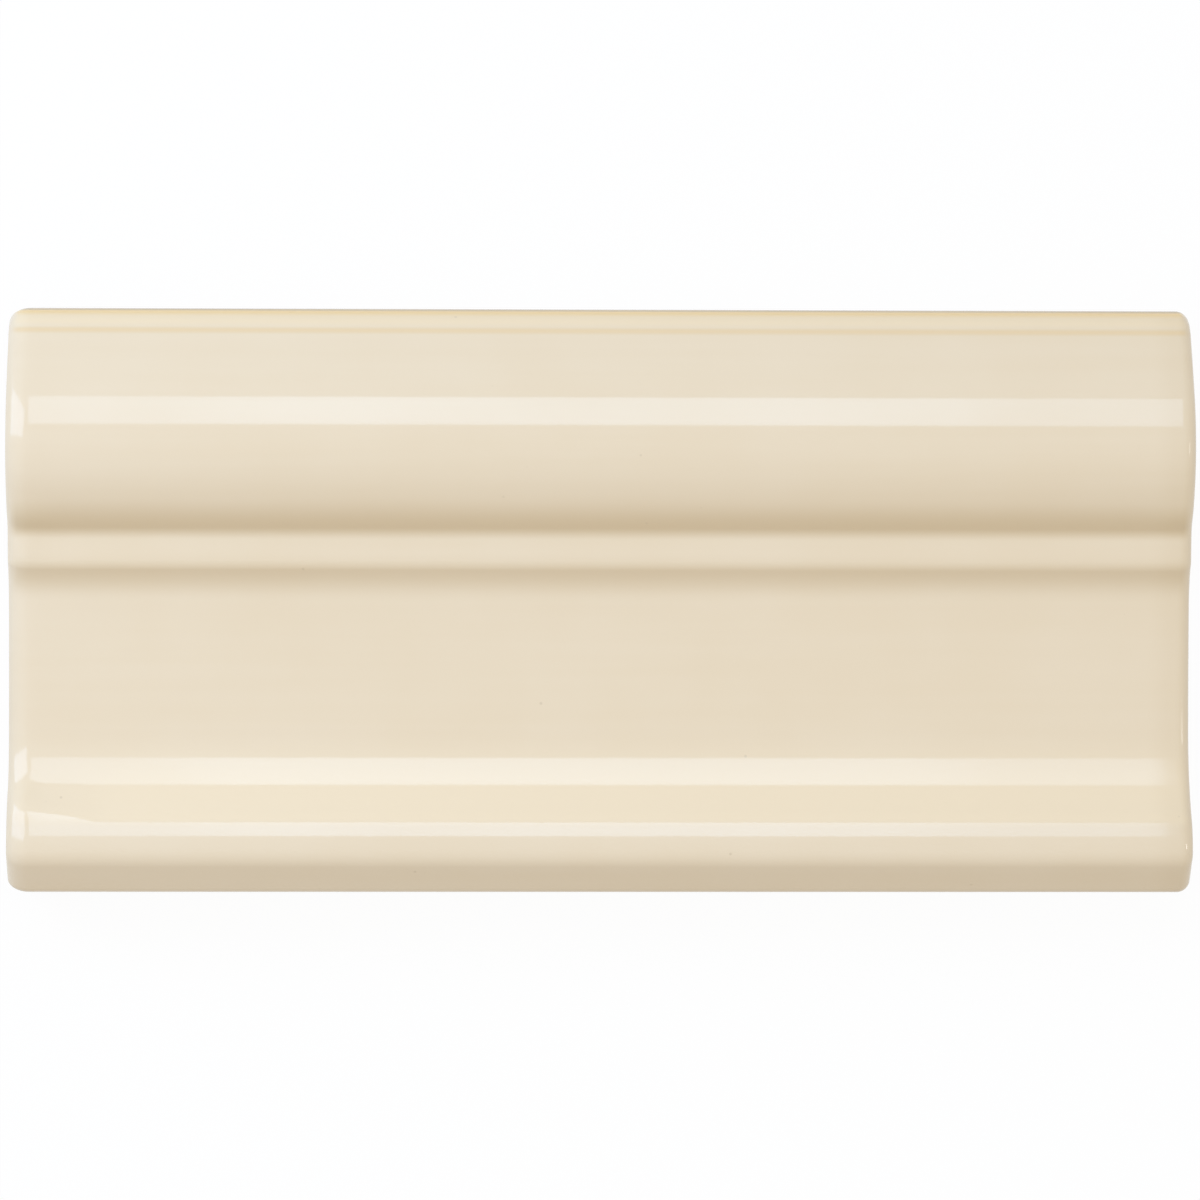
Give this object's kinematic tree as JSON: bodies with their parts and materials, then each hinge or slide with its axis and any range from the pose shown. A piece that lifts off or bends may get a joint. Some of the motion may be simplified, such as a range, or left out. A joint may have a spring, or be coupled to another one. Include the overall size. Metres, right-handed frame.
{
  "type": "ceramic moulding tile",
  "caption": "Glazed ceramic cornice moulding tile with a large roll, a narrow fillet, a hollow fascia and a lower bead, and a key-grooved back for fixing to a wall.",
  "frame": {"origin": "centre of the back, at the level of the surface that the tile lies on", "axes": "+X along the moulding, +Y up the wall towards the roll, +Z out of the wall through the moulded face"},
  "size_m": [0.152, 0.075, 0.019],
  "materials": {
    "cream_glaze": "glossy cream glaze over a pale biscuit body, which is bare on the back"
  },
  "bodies": {
    "root": {"moulding_tile": "cream_glaze"}
  },
  "joints": []
}
